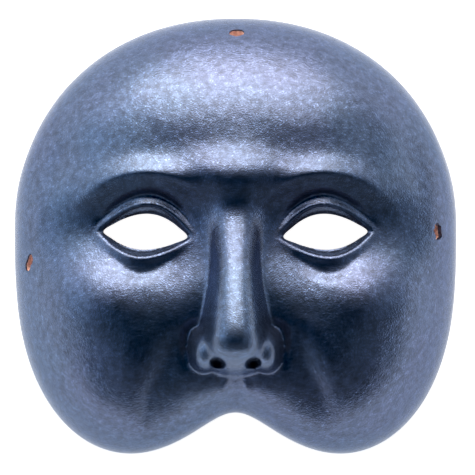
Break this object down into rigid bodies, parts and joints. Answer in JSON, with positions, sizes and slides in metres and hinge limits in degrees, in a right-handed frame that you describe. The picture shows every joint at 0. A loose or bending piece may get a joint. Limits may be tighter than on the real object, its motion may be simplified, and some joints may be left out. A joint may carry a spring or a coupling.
{
  "type": "pulcinella mask",
  "caption": "Half mask with eye openings, a lower edge raised over the mouth and holes for a tie, in dark glossy painted clay, with a calm, plain face.",
  "frame": {"origin": "middle of the mask's box, on the plane of its rim, on which it lies", "axes": "+X to the viewer's right, +Y to the forehead, +Z out of the face toward the viewer"},
  "size_m": [0.175, 0.172, 0.0788],
  "materials": {
    "dark_paint": "dark blue-black paint with a metallic sheen on fired clay"
  },
  "bodies": {
    "root": {"mask": "dark_paint"}
  },
  "joints": []
}
